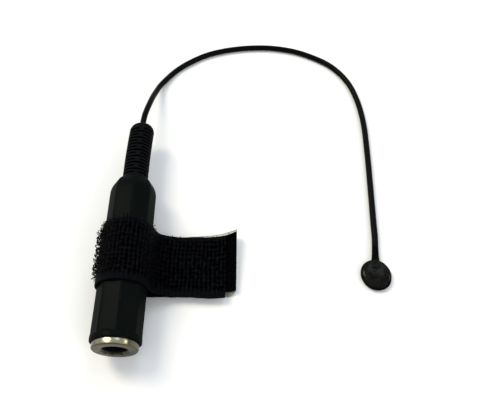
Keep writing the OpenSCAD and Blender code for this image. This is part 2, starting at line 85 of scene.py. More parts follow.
class Finish:
    """A surface finish: a material whose nodes all come from one method."""

    def __init__(self, name, constants):
        self.material = bpy.data.materials.new(name)
        self.material.use_nodes = True
        self.tree = self.material.node_tree
        self.shader = self.tree.nodes["Principled BSDF"]
        self.feed(self.shader, constants)

    def feed(self, node, sockets):
        for name, value in sockets.items():
            if isinstance(value, Level):
                self.tree.links.new(value.socket, node.inputs[name])
            else:
                node.inputs[name].default_value = value

    def node(self, kind, settings=None, sockets=None, output=0):
        node = self.tree.nodes.new("ShaderNode" + kind)
        for name, value in (settings or {}).items():
            setattr(node, name, value)
        self.feed(node, sockets or {})
        return Level(self, node.outputs[output])

    def place(self, scale, turn=(0, 0, 0), where="Object"):
        here = self.node("TexCoord", output=where)
        return self.node("Mapping", None, {"Vector": here, "Rotation": turn, "Scale": scale})

    def grain(self, scale, detail=2.0, turn=(0, 0, 0), where="Object"):
        at = self.place(scale, turn, where)
        return self.node("TexNoise", None, {"Vector": at, "Scale": 1.0, "Detail": detail})

    def mixed(self, first, second, share):
        return self.node("Mix", {"data_type": "RGBA"}, {0: share, 6: first, 7: second}, 2)

    def steps(self, level, low, high):
        return self.node("MapRange", None, {0: level, 1: low, 2: high})

    def finished(self, sockets, height=None, depth=0.0):
        if height is not None:
            sockets["Normal"] = self.node("Bump", None, {"Height": height, "Distance": depth})
        self.feed(self.shader, sockets)
        return self.material


def modifier(piece, kind, **settings):
    made = piece.modifiers.new(kind.lower(), kind)
    for name, value in settings.items():
        setattr(made, name, value)
    bpy.ops.object.select_all(action="DESELECT")
    bpy.context.view_layer.objects.active = piece
    piece.select_set(True)
    bpy.ops.object.modifier_apply(modifier=made.name)


def smoothed(piece, degrees):
    bpy.ops.object.select_all(action="DESELECT")
    bpy.context.view_layer.objects.active = piece
    piece.select_set(True)
    bpy.ops.object.shade_smooth_by_angle(angle=math.radians(degrees))


def pick(piece, kind, wanted):
    """Selects the vertices, edges or faces of a mesh in edit mode that wanted() says yes to."""
    bpy.ops.object.mode_set(mode="EDIT")
    bpy.ops.mesh.select_mode(type=kind)
    bpy.ops.mesh.select_all(action="DESELECT")
    bpy.ops.object.mode_set(mode="OBJECT")
    parts = {"VERT": "vertices", "EDGE": "edges", "FACE": "polygons"}[kind]
    for part in getattr(piece.data, parts):
        part.select = wanted(part)
    bpy.ops.object.mode_set(mode="EDIT")


def turned(name, outline, steps=128):
    """Spins a closed outline of [radius, distance along the barrel], in mm, into a solid."""
    bpy.ops.object.select_all(action="DESELECT")
    bpy.ops.mesh.primitive_plane_add(size=mm)
    piece = bpy.context.object
    piece.name = piece.data.name = name
    points = [Vector((r, y, 0)) * mm for r, y in outline]
    bpy.ops.object.mode_set(mode="EDIT")
    bpy.ops.mesh.select_mode(type="VERT")
    bpy.ops.mesh.merge(type="CENTER")
    bpy.ops.transform.translate(value=points[0])
    for start, end in zip(points, points[1:] + points[:1]):
        bpy.ops.mesh.extrude_region_move(TRANSFORM_OT_translate={"value": end - start})
    bpy.ops.mesh.select_all(action="SELECT")
    bpy.ops.mesh.remove_doubles(threshold=1e-7)
    bpy.ops.mesh.spin(steps=steps, angle=2 * math.pi, center=(0, 0, 0), axis=(0, 1, 0))
    bpy.ops.mesh.select_all(action="SELECT")
    bpy.ops.mesh.remove_doubles(threshold=1e-7)
    bpy.ops.mesh.normals_make_consistent(inside=False)
    bpy.ops.object.mode_set(mode="OBJECT")
    return piece


def joined(name, pieces):
    bpy.ops.object.select_all(action="DESELECT")
    for piece in pieces:
        piece.select_set(True)
    bpy.context.view_layer.objects.active = pieces[0]
    bpy.ops.object.join()
    pieces[0].name = pieces[0].data.name = name
    return pieces[0]


def dressed(piece, body, slot, material, *stands_for):
    piece.data.materials.clear()
    piece.data.materials.append(material)
    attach(piece, body)
    if stands_for:
        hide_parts(*stands_for)


bush = turned("bush", [
    (bore_radius, 0.05), (4.05, -0.8), (6.1, -0.8), (ring_radius, -0.45), (ring_radius, 1.2),
    (5.45, 1.2), (5.45, 5.0), (5.3, 5.0), (5.3, 7.7), (4.4, 7.7), (4.4, 8.3), (4.7, 8.4),
    (4.7, 8.7), (4.4, 9.7), (3.45, 9.7), (bore_radius, 9.5),
], 160)
modifier(bush, "BEVEL", width=0.09 * mm, segments=3, limit_method="ANGLE", angle_limit=0.5)

# The thread is a ridge wound on the bush
bpy.ops.object.select_all(action="DESELECT")
bpy.ops.mesh.primitive_circle_add(vertices=3, radius=0.4 * mm, fill_type="NGON")
thread = bpy.context.object
for corner, (r, y) in zip(thread.data.vertices, [(5.3, 2.0), (5.8, 2.36), (5.3, 2.72)]):
    corner.co = Vector((r, y, 0)) * mm
modifier(thread, "SCREW", axis="Y", angle=2 * math.pi * thread_turns,
         screw_offset=thread_pitch * thread_turns * mm,
         steps=300, render_steps=300, use_merge_vertices=True)
pick(thread, "FACE", lambda face: False)
bpy.ops.mesh.select_mode(type="EDGE")
bpy.ops.mesh.select_non_manifold()
bpy.ops.mesh.edge_face_add()
bpy.ops.mesh.select_all(action="SELECT")
bpy.ops.mesh.normals_make_consistent(inside=False)
bpy.ops.object.mode_set(mode="OBJECT")
nose_bush = joined("turned_bush", [bush, thread])
smoothed(nose_bush, 35)

# The front and the countersink are dull and worn, and the turned band is bright. Painted
# shade: the bore is painted near-black, the band's sides darker and the front darker towards
# the bottom. The masks read metres along the barrel and across it, and the radius in mm.
nickel = Finish("nickel_plate", {"Specular IOR Level": 0.02})
here = nickel.node("TexCoord", output="Object")
across = nickel.node("VectorMath", {"operation": "MULTIPLY"}, {0: here, 1: (1000, 0, 1000)})
radius = nickel.node("VectorMath", {"operation": "LENGTH"}, {0: across}, "Value")
along = nickel.node("SeparateXYZ", None, {0: here}, "Y")
sideways = nickel.node("SeparateXYZ", None, {0: here}, "X")
upwards = nickel.node("SeparateXYZ", None, {0: here}, "Z")
ring_place = nickel.node("CombineXYZ", None, {"X": radius * 9.0, "Y": along * 9000.0})
tool_marks = nickel.node("TexNoise", None, {"Vector": ring_place, "Scale": 1.0, "Detail": 3.0})
smudge = nickel.grain((420, 420, 420), 3.0)
spots = nickel.steps(nickel.grain((1500, 1500, 1500), 4.0), 0.56, 0.72)
grime = nickel.steps(nickel.grain((620, 900, 620), 3.0, (0, 0.6, 0)), 0.5, 0.66)
front = nickel.node("Math", {"operation": "MAXIMUM"}, {
    0: nickel.steps(along, -0.0003, -0.00055), 1: nickel.steps(radius, 4.5, 4.3)})
# Painted shade: inside the bore the nickel is painted near-black, matt and not metallic.
inside = nickel.steps(radius, 3.62, 3.4)
# Painted shade: the band is painted dark brown towards both sides.
painted_flank_shade = nickel.steps(sideways * sideways, 0.0000125, 0.00002)
# Painted shade: the front is painted darker towards the bottom, and its grime is made heavier
# there. The plug wear marks are kept to the lower half.
lower = nickel.steps(upwards, 0.0, -0.003)
plate = nickel.mixed((0.42, 0.395, 0.27, 1), (0.35, 0.325, 0.22, 1), smudge)
plate = nickel.mixed(plate, (0.13, 0.115, 0.085, 1), painted_flank_shade)
dull_front_and_shade = nickel.mixed((0.125, 0.114, 0.078, 1), (0.084, 0.076, 0.052, 1), smudge)
dull_front_and_shade = nickel.mixed(dull_front_and_shade, (0.05, 0.045, 0.032, 1), lower * 0.6)
grimy_front_and_shade = nickel.mixed(dull_front_and_shade, (0.026, 0.024, 0.018, 1), grime * (0.4 + lower * 0.5))
tarnish_and_shade = nickel.mixed(nickel.mixed(plate, grimy_front_and_shade, front),
                         (0.09, 0.078, 0.045, 1), spots * 0.4)
plug_wear = nickel.steps(nickel.grain((950, 500, 700), 1.0, (0.3, 0, 0)), 0.44, 0.54)
tarnish_and_shade = nickel.mixed(tarnish_and_shade, (0.020, 0.017, 0.010, 1),
                         plug_wear * lower * nickel.steps(radius, 4.9, 4.5) * 0.9)
dressed(nose_bush, "socket", "nickel", nickel.finished({
    "Base Color": nickel.mixed(tarnish_and_shade, (0.004, 0.0035, 0.005, 1), inside),
    "Metallic": 1.0 - inside,
    "Roughness": 0.16 + smudge * 0.12 + spots * 0.12 + front * 0.22 + inside * 0.4,
}, tool_marks + smudge * 0.5, 0.006 * mm), "nose_bush")


# ---- frame and cable clamp ----
# Pressed from tin plated steel strip. The frame's ring is staked on the bush's neck and its
# floor strip runs back under the contact stack. The clamp is riveted on it, steps up to the
# lead and folds its ears round the jacket.

plated = Finish("plated_steel", {"Metallic": 1.0})
rolled = plated.grain((300, 9000, 300), 3.0)
cloud = plated.grain((700, 700, 700), 3.0)
plated.finished({
    "Base Color": plated.mixed((0.50, 0.50, 0.48, 1), (0.36, 0.35, 0.32, 1), cloud),
    "Roughness": 0.25 + cloud * 0.25,
}, rolled + cloud * 0.5, 0.01 * mm)


def made_of(material, *names):
    """Gives the CAD's own pieces a material."""
    for name in names:
        nodes[name].data.materials.clear()
        nodes[name].data.materials.append(material)


made_of(plated.material, "sleeve_frame", "cable_clamp", "rivets")


# ---- insulators ----
# The block is moulded from brown filled phenolic, the cap over the lug is punched from
# phenolic paper sheet. Both show the filler as fine mottling.

phenolic = Finish("phenolic", {"IOR": 1.5})
mottle = phenolic.grain((2600, 2600, 2600), 4.0)
flow = phenolic.grain((500, 200, 500), 2.0)
phenolic.finished({
    "Base Color": phenolic.mixed((0.13, 0.055, 0.02, 1), (0.23, 0.11, 0.045, 1),
                                 mottle * 0.7 + flow * 0.3),
    "Roughness": 0.38 + mottle * 0.2,
}, mottle, 0.012 * mm)
made_of(phenolic.material, "insulator_block", "top_insulator")


# ---- tip contact and lug ----
# One strip of phosphor bronze, punched and bent: the free end presses on the plug's tip and
# the tail takes the solder joint. The plug has rubbed a bright line over the bend.

bronze = Finish("spring_bronze", {"Metallic": 1.0})
drawn = bronze.grain((9000, 250, 9000), 3.0)
tint = bronze.grain((350, 350, 350), 2.0)
worn = bronze.steps(bronze.grain((2500, 120, 400), 2.0), 0.5, 0.75)
bronze.finished({
    "Base Color": bronze.mixed(
        bronze.mixed((0.47, 0.27, 0.11, 1), (0.33, 0.17, 0.07, 1), tint),
        (0.62, 0.42, 0.22, 1), worn * 0.6),
    "Roughness": 0.22 + tint * 0.2,
}, drawn, 0.006 * mm)
made_of(bronze.material, "tip_contact", "tip_lug")


# ---- wiring ----
# The lead's stripped end: an ivory insulated core of seven fine copper strands that goes up
# to the lug, and the screen's wires twisted into a pigtail. Soft solder holds both.


def curve_through(points, steps):
    """A smooth line through points, with steps for each span."""
    p = [Vector(point) for point in points]
    line = []
    for i in range(len(p) - 1):
        a, b, c, d = p[max(i - 1, 0)], p[i], p[i + 1], p[min(i + 2, len(p) - 1)]
        for k in range(steps):
            t = k / steps
            line.append(0.5 * (2 * b + (c - a) * t + (2 * a - 5 * b + 4 * c - d) * t * t
                               + (3 * b - a - 3 * c + d) * t ** 3))
    return line + [p[-1]]


def wire(name, line, radius, rounds=1):
    """A round closed wire along a line, in mm."""
    bpy.ops.object.select_all(action="DESELECT")
    bpy.ops.curve.primitive_nurbs_path_add()
    piece = bpy.context.object
    piece.name = name
    piece.data.splines.clear()
    spline = piece.data.splines.new("POLY")
    spline.points.add(len(line) - 1)
    for point, at in zip(spline.points, line):
        point.co = (*(Vector(at) * mm), 1)
    piece.data.bevel_depth = radius * mm
    piece.data.bevel_resolution = rounds
    piece.data.use_fill_caps = True
    bpy.ops.object.convert(target="MESH")
    bpy.ops.object.mode_set(mode="EDIT")
    bpy.ops.mesh.select_all(action="SELECT")
    bpy.ops.mesh.remove_doubles(threshold=1e-7)
    bpy.ops.mesh.normals_make_consistent(inside=False)
    bpy.ops.object.mode_set(mode="OBJECT")
    piece.data.name = name
    return piece


def strand_bundle(name, line, radius, strands, turns):
    """Strands laid round a line with a twist, joined into one piece."""
    line = [Vector(point) for point in line]
    laid = []
    for strand in range(strands):
        path = []
        for i, point in enumerate(line):
            ahead = (line[min(i + 1, len(line) - 1)] - line[max(i - 1, 0)]).normalized()
            side = ahead.orthogonal().normalized() if i == 0 else side
            side = (side - ahead * side.dot(ahead)).normalized()
            angle = 2 * math.pi * (strand / strands + turns * i / (len(line) - 1))
            out = side * math.cos(angle) + ahead.cross(side) * math.sin(angle)
            path.append(point + out * radius * 0.62)
        laid.append(wire(name, path, radius * 0.36, 0))
    piece = joined(name, laid)
    smoothed(piece, 60)
    return piece


copper = Finish("copper_strand", {"Metallic": 1.0})
dulling = copper.grain((1800, 1800, 1800), 3.0)
copper_material = copper.finished({
    "Base Color": copper.mixed((0.62, 0.27, 0.14, 1), (0.34, 0.13, 0.07, 1), dulling),
    "Roughness": 0.25 + dulling * 0.2,
}, dulling, 0.004 * mm)

core_plastic = Finish("core_plastic", {"IOR": 1.5, "Subsurface Weight": 0.1})
drawn_core = core_plastic.grain((2400, 500, 2400), 3.0)
core_material = core_plastic.finished({
    "Base Color": core_plastic.mixed((0.66, 0.60, 0.46, 1), (0.55, 0.48, 0.34, 1), drawn_core),
    "Roughness": 0.4 + drawn_core * 0.15,
}, drawn_core, 0.006 * mm)

core = wire("core_sleeve", curve_through([
    (0, 38.8, 0), (0, 38.6, 0), (0, 37.8, 0.35), (0, 37.25, 1.15), (0, 37.3, 2.4)], 4), 0.35, 3)
smoothed(core, 50)
dressed(core, "socket", "core_plastic", core_material, "core_insulation")
tail = strand_bundle("core_wires", [(0, 37.3, 2.3 + 0.17 * i) for i in range(11)], 0.2, 7, 0.8)
dressed(tail, "socket", "copper", copper_material, "core_strands")
pigtail = strand_bundle("twisted_screen", curve_through([
    (0, 38.8, -0.4), (0, 38.6, -0.4), (0.5, 37.9, -0.65), (0.5, 37.2, -1.1)], 5), 0.3, 8, 1.5)
dressed(pigtail, "socket", "copper", copper_material, "screen_pigtail")

solder = Finish("soft_solder", {"Metallic": 1.0})
frost = solder.grain((2500, 2500, 2500), 4.0)
solder.finished({
    "Base Color": solder.mixed((0.56, 0.56, 0.57, 1), (0.34, 0.34, 0.35, 1), frost),
    "Roughness": 0.2 + frost * 0.35,
}, frost, 0.01 * mm)
made_of(solder.material, "tip_solder", "sleeve_solder", "disc_solder")


# ---- lead ----
# Thin two conductor cable with an extruded black jacket. It comes straight out of the boot,
# drops to the surface and lies there in one wide arch to the sensor. Inside the boot and the
# cover it runs on to the clamp.

lead_radius = 1.0
lying = -7.6    # height of the lead's middle where it lies on the surface

jacket = Finish("jacket", {"Specular IOR Level": 0.045})
die_lines = jacket.grain((1500, 1500, 1500), 3.0)
dust = jacket.steps(jacket.grain((900, 900, 900), 4.0), 0.6, 0.8)
jacket_material = jacket.finished({
    "Base Color": jacket.mixed((0.0010, 0.0013, 0.0013, 1), (0.006, 0.006, 0.006, 1), dust * 0.5),
    "Roughness": 0.27 + die_lines * 0.1,
}, die_lines, 0.005 * mm)

route = [
    (0.3, 76, 0), (0.35, 77.6, 0), (0.43, 79.2, -0.05), (0.62, 81.5, -0.3), (0.92, 84, -0.75),
    (1.45, 88, -1.85), (1.9, 92, -3.35), (2.65, 96.5, -5.2), (4.05, 101.5, -6.85),
]
route += [(x, y, lying) for x, y in (
    (8.15, 108), (13, 112.5), (19.6, 116.7), (26.3, 119.1), (32.9, 120.4), (39.5, 120.9),
    (46, 120.6), (53.5, 119), (60, 116.2), (66.2, 112.3), (70.7, 107.4), (73.8, 101.9),
    (75.6, 96.2), (76.8, 89.7), (77.4, 82), (77.42, 75.3), (77.25, 66), (77, 58), (76.75, 50),
)]
route += [(76.5, 43, -7.56), (76.36, 38, -7.49), (76.05, 34.4, -7.48)]
lead_line = curve_through(route, 5)
lead = wire("sensor_lead", lead_line, lead_radius, 6)
smoothed(lead, 60)
dressed(lead, "socket", "jacket", jacket_material, "lead")
lead_length = sum((b - a).length for a, b in zip(lead_line, lead_line[1:]))

# From the clamp through the boot, where its last half follows the boot's bend
lead_inside = wire("lead_inside", [
    (0.3 * max(0, i / 20 - 1) ** 2, 38.8 + 0.93 * i, 0) for i in range(41)], lead_radius, 6)
modifier(lead_inside, "BEVEL", width=0.08 * mm, segments=2, limit_method="ANGLE")
smoothed(lead_inside, 50)
dressed(lead_inside, "socket", "jacket", jacket_material, "lead_tail")


# ---- sensor disc ----
# A brass plate with a silvered ceramic on it, two solder joints and the lead's end, dipped
# together in black liquid plastic. The skin has run round the edge, dried glossy and drawn
# down into a neck along the jacket.

brass = Finish("brass_sheet", {"Metallic": 1.0})
brass_grain = brass.grain((6000, 500, 6000), 3.0)
brass.finished({
    "Base Color": brass.mixed((0.66, 0.44, 0.15, 1), (0.48, 0.30, 0.10, 1), brass_grain),
    "Roughness": 0.25 + brass_grain * 0.2,
}, brass_grain, 0.005 * mm)
made_of(brass.material, "brass_plate")

ceramic = Finish("piezo_ceramic", {"IOR": 1.8})
silvering = ceramic.grain((1400, 1400, 1400), 4.0)
ceramic.finished({
    "Base Color": ceramic.mixed((0.72, 0.71, 0.68, 1), (0.56, 0.55, 0.52, 1), silvering),
    "Roughness": 0.35 + silvering * 0.25,
}, silvering, 0.006 * mm)
made_of(ceramic.material, "ceramic_disc")

table_height = -8.6
disc_x, disc_y = 75.35, 24.85
neck_way = Vector((0.85, 9.7, 0)).normalized()
end_inside = wire("lead_end_inside", [
    Vector(route[-1]) - neck_way * 0.8 * i for i in range(8)], lead_radius, 6)
smoothed(end_inside, 50)
dressed(end_inside, "socket", "jacket", jacket_material, "lead_end")
wires_down = joined("bare_wires", [
    wire("bare_wire", curve_through([
        (75.3, 28.75, -7.2), (75.1, 27.8, -7.1), (74.7, 26.4, -7.32)], 4), 0.12, 1),
    wire("bare_wire", curve_through([
        (75.8, 28.75, -7.6), (75.8, 28.5, -7.62), (75.8, 28.3, -7.65)], 3), 0.12, 1)])
smoothed(wires_down, 60)
dressed(wires_down, "socket", "copper", copper_material, "disc_wires")

coat = turned("coat", [
    (0, 0), (3.95, 0), (4.42, 0.16), (4.68, 0.65), (4.68, 1.1), (4.52, 1.6), (4.2, 1.95),
    (3.7, 2.16), (3.1, 2.29), (2.4, 2.39), (1.2, 2.49), (0, 2.52),
], 64)
# The skin has set a little longer than wide, and askew
lean = Matrix.Identity(4)
lean[0][1] = -0.07
coat.data.transform(Matrix.Translation(Vector((disc_x, disc_y, table_height)) * mm) @ lean
                    @ Matrix.Diagonal((1.0, 1.07, 1, 1))
                    @ Matrix.Rotation(math.radians(90), 4, "X"))
bpy.ops.object.select_all(action="DESELECT")
bpy.ops.mesh.primitive_cylinder_add(vertices=32, radius=1.05 * mm, depth=0.6 * mm)
neck = bpy.context.object
neck.data.transform(Matrix.Rotation(math.radians(90), 4, "X"))
pick(neck, "FACE", lambda face: face.normal.y < -0.9)
for forward, wider in ((1.2, 1.02), (1.2, 1.04), (1.2, 1.08), (1.1, 1.16), (1.0, 1.2),
                       (1.0, 1.1), (0.8, 0.8)):
    bpy.ops.mesh.extrude_region_move(
        TRANSFORM_OT_translate={"value": (0, -forward * mm, 0)})
    bpy.ops.transform.resize(value=(wider, 1, wider))
bpy.ops.object.mode_set(mode="OBJECT")
turn = Matrix.Rotation(-math.atan2(neck_way.x, neck_way.y), 4, "Z")
neck.data.transform(Matrix.Translation((76.03 * mm, 34.1 * mm, -7.48 * mm)) @ turn)
coating = joined("dipped_coating", [coat, neck])
modifier(coating, "REMESH", mode="VOXEL", voxel_size=0.1 * mm)
modifier(coating, "SMOOTH", factor=0.5, iterations=14)
for corner in coating.data.vertices:
    at = corner.co / mm
    if at.z > -8.3:
        run = noise.noise(at * 0.4) * 0.07 + noise.noise(at * 1.3) * 0.012
        corner.co += corner.normal * run * mm
    corner.co.z = max(corner.co.z, table_height * mm)
smoothed(coating, 60)

dip = Finish("dip_coating", {"Specular IOR Level": 0.012, "Coat Roughness": 0.09})
sag = dip.grain((260, 260, 260), 2.0)
pits = dip.grain((2200, 2200, 2200), 3.0)
blotches = dip.grain((900, 900, 900), 3.0)
from_middle = dip.node("VectorMath", {"operation": "MULTIPLY"}, {
    0: dip.node("TexCoord", output="Object"), 1: (1000, 935, 0)})
radius = dip.node("VectorMath", {"operation": "DISTANCE"},
                  {0: from_middle, 1: (disc_x, 23.23, 0)}, "Value")
# Painted shade: the rim round the edge keeps a near-black colour while the top face is lighter.
# The gloss coat is on the top face only.
top_face_vs_shaded_rim = dip.steps(radius + blotches * 0.4, 4.7, 4.3)
hazy = dip.mixed((0.0010, 0.0012, 0.0010, 1), (0.0120, 0.0118, 0.0090, 1),
                 dip.steps(blotches, 0.3, 0.75))
dressed(coating, "socket", "dip_coating", dip.finished({
    "Base Color": dip.mixed((0.0008, 0.0009, 0.0010, 1), hazy, top_face_vs_shaded_rim),
    "Coat Weight": 0.01 + top_face_vs_shaded_rim * (0.06 + sag * 0.08),
    "Roughness": 0.2 + sag * 0.12 + pits * 0.05,
}, sag + pits * 0.5 + blotches * 0.7, 0.025 * mm), "disc_coating")

[point * mm for point in lead_line]


# ---- strain relief boot ----
# Moulded from soft black plastic round the lead: a flange that the cover's end wall holds,
# slots cut in from alternate sides so that it bends, and a domed end. Its end bends a little
# to the side that the lead leaves on.

boot_radius, hole_radius = 4.0, 1.2
first_slot, slot_levels, slot_width, slot_step = 54.9, 15, 0.6, 18.5 / 15
octagon_turn = 11    # turn of the cover's ridges and of the slots about the barrel, in degrees
bend_start, bend_rate = 58, 0.0016

boot = turned("boot", [
    (hole_radius, 49.4), (4.9, 49.4), (4.9, 50.98), (boot_radius, 50.98), (boot_radius, 62),
    (boot_radius, 67), (boot_radius, 70.5), (boot_radius, 73.4), (3.92, 74.07), (3.69, 74.7),
    (3.33, 75.24), (2.85, 75.65), (2.3, 75.91), (1.7, 76.0), (hole_radius, 76.0),
], 96)
cutters = []
for level in range(slot_levels):
    for side in (0, 180):
        bpy.ops.object.select_all(action="DESELECT")
        bpy.ops.mesh.primitive_cube_add(size=1)
        cutter = bpy.context.object
        along = first_slot + level * slot_step + slot_width / 2
        turn = math.radians(octagon_turn + side + 90 * ((level + 1) % 2))
        cutter.data.transform(
            Matrix.Rotation(turn, 4, "Y")
            @ Matrix.Translation(Vector((0, along, 3.75)) * mm)
            @ Matrix.Diagonal(Vector((12, slot_width, 6)) * mm).to_4x4())
        cutters.append(cutter)
slots = joined("slots", cutters)
modifier(boot, "BOOLEAN", operation="DIFFERENCE", object=slots, solver="EXACT")
bpy.data.objects.remove(slots)
modifier(boot, "BEVEL", width=0.08 * mm, segments=2, limit_method="ANGLE", angle_limit=0.7)
for corner in boot.data.vertices:
    corner.co.x += bend_rate * max(0, corner.co.y / mm - bend_start) ** 2 * mm
boot.name = boot.data.name = "slotted_boot"
smoothed(boot, 40)

rubber = Finish("boot_rubber", {"Specular IOR Level": 0.018})
bloom = rubber.grain((600, 600, 600), 3.0)
skin = rubber.grain((5000, 5000, 5000), 3.0)
here = rubber.node("TexCoord", output="Object")
x, y, z = (rubber.node("SeparateXYZ", None, {0: here}, axis) * 1000.0 for axis in "XYZ")
past = rubber.node("Math", {"operation": "MAXIMUM"}, {0: y - bend_start, 1: 0.0})
x = x - past * past * bend_rate
# Painted shade: down in the slots the rubber is painted near-black.
painted_slot_shade = rubber.steps((x * x + z * z) ** 0.5, boot_radius - 0.08, boot_radius - 0.5)
dressed(boot, "boot", "boot_rubber", rubber.finished({
    "Base Color": rubber.mixed(
        rubber.mixed((0.0022, 0.0026, 0.0030, 1), (0.0050, 0.0053, 0.0060, 1), bloom),
        (0.0004, 0.0004, 0.0005, 1), painted_slot_shade),
    "Roughness": 0.42 + bloom * 0.18,
}, skin + bloom, 0.01 * mm), "strain_relief_boot")


# ---- cover ----
# Black moulded shell, screwed onto the bush. Eight flats with softened ridges run back from
# a round rim and on over the domed shoulder to the boot. Handling has dulled its sides.

cover_radius, cover_length, cover_middle = 7.2, 46.6, 25
shoulder_start, shoulder_length, shoulder_radius = 48.3, 5.1, 4.7
shoulder_steps = 10

bpy.ops.object.select_all(action="DESELECT")
bpy.ops.mesh.primitive_cylinder_add(
    vertices=8, radius=cover_radius * mm, depth=cover_length * mm)
shell = bpy.context.object
shell.data.transform(
    Matrix.Rotation(math.radians(octagon_turn), 4, "Y")
    @ Matrix.Translation((0, cover_middle * mm, 0))
    @ Matrix.Rotation(math.radians(-90), 4, "X"))
pick(shell, "FACE", lambda face: face.normal.y > 0.9)
reach, size = 0.0, cover_radius
for step in range(1, shoulder_steps + 1):
    angle = math.radians(90 / shoulder_steps * step)
    further = shoulder_length * math.sin(angle)
    smaller = shoulder_radius + (
        (cover_radius - shoulder_radius) * abs(math.cos(angle)) ** 1.2)
    bpy.ops.mesh.extrude_region_move(
        TRANSFORM_OT_translate={"value": (0, (further - reach) * mm, 0)})
    bpy.ops.transform.resize(value=(smaller / size, 1, smaller / size),
                             center_override=(0, (shoulder_start + further) * mm, 0))
    reach, size = further, smaller
bpy.ops.object.mode_set(mode="OBJECT")
corners = shell.data.vertices


def is_ridge(edge):
    a, b = (corners[i].co for i in edge.vertices)
    return abs(a.y - b.y) > 0.01 * mm and a.xz.angle(b.xz) < 0.05


pick(shell, "EDGE", is_ridge)
bpy.ops.mesh.bevel(offset=0.42 * mm, segments=4, affect="EDGES")
bpy.ops.object.mode_set(mode="OBJECT")
rim = turned("rim", [
    (0, 1.2), (6.9, 1.2), (7.1, 1.27), (cover_radius, 1.45), (cover_radius, 2.5),
    (7.15, 2.68), (6.55, 3.5), (0, 3.5),
], 96)
modifier(shell, "BOOLEAN", operation="UNION", object=rim, solver="EXACT")
bore = turned("bore", [
    (0, 0.2), (6.28, 0.2), (6.28, 1.2), (5.88, 1.6), (5.88, 48.1), (5.1, 49.3), (5.1, 51),
    (4.08, 51), (4.08, 54.4), (0, 54.4),
], 96)
modifier(shell, "BOOLEAN", operation="DIFFERENCE", object=bore, solver="EXACT")
bpy.data.objects.remove(rim)
bpy.data.objects.remove(bore)
shell.name = shell.data.name = "octagonal_cover"
smoothed(shell, 24)

# The masks read metres: the flats on both sides, and the shoulder's end, are duller
moulding = Finish("black_shell", {"Specular IOR Level": 0.016})
texture = moulding.grain((4500, 4500, 4500), 3.0)
cloudy = moulding.grain((300, 120, 300), 3.0)
scuffs = moulding.steps(moulding.grain((2600, 260, 2600), 4.0, (0, 0, 0.4)), 0.63, 0.78)
shell_shade = moulding.mixed((0.0019, 0.0031, 0.0030, 1), (0.0034, 0.0045, 0.0041, 1), cloudy)
here = moulding.node("TexCoord", output="Object")
sideways = moulding.node("SeparateXYZ", None, {0: here}, "X")
along = moulding.node("SeparateXYZ", None, {0: here}, "Y")
gripped = (moulding.steps(sideways, -0.0040, -0.0043)
           + moulding.steps(sideways, 0.0056, 0.0060))
handled = moulding.node("Math", {"operation": "MAXIMUM"}, {
    0: gripped, 1: moulding.steps(along, 0.0495, 0.0515)})
dressed(shell, "cover", "black_shell", moulding.finished({
    "Base Color": moulding.mixed(shell_shade, (0.012, 0.012, 0.0115, 1), scuffs * 0.5),
    "Roughness": 0.29 + cloudy * 0.12 - scuffs * 0.06 + handled * 0.18,
}, texture + scuffs, 0.008 * mm), "cover")


# ---- hook tape ----
# One length of 20 mm woven nylon hook tape. It is wrapped once round the cover, and its two
# ends leave at the lower right and are glued to each other as a flap, hooks outwards on both
# sides. The edges are plain woven selvedge.

tape_near, tape_far, tape_thickness = 17.2, 36.8, 0.5
ring_middle, flap_end, hinge_x = 7.55, 29.4, 12.4
inner_height = -6.43

# The tape's middle line as [x, z]: the flap's inner layer, the ring, then the outer layer
tape_route = [(x, inner_height) for x in (flap_end, 24, 18, hinge_x, 9, 6.2)]
tape_route += [(ring_middle * math.sin(math.radians(a)), ring_middle * math.cos(math.radians(a)))
               for a in range(147, 448, 6)]
tape_route += [
    (7.56, -0.1), (7.85, -1.2), (8.3, -2.4), (8.95, -3.45), (9.9, -4.2), (11.2, -4.75),
    (12.45, -5.12), (13.6, -5.45), (14.8, -5.75), (16, -5.8), (20, -5.8), (24, -5.8),
    (flap_end, -5.8)]


def evenly(line, step):
    """The same line with points at even steps, and its length."""
    lengths = [0.0]
    for a, b in zip(line, line[1:]):
        lengths.append(lengths[-1] + (b - a).length)
    count = max(2, round(lengths[-1] / step))
    out, i = [], 0
    for k in range(count + 1):
        want = lengths[-1] * k / count
        while i < len(line) - 2 and lengths[i + 1] < want:
            i += 1
        share = (want - lengths[i]) / max(lengths[i + 1] - lengths[i], 1e-9)
        out.append(line[i].lerp(line[i + 1], min(max(share, 0), 1)))
    return out, lengths[-1]


def past_curl(x, y):
    """How far a place is past the slanting line where the flap's far corner starts to curl."""
    return max(0.0, (x - 25.3) + 0.31 * (y - 27.5))


def lifted(x, y):
    """How far the flap's far corner has curled up off the surface, in mm."""
    return 0.03 * past_curl(x, y) ** 2 if x > hinge_x else 0.0


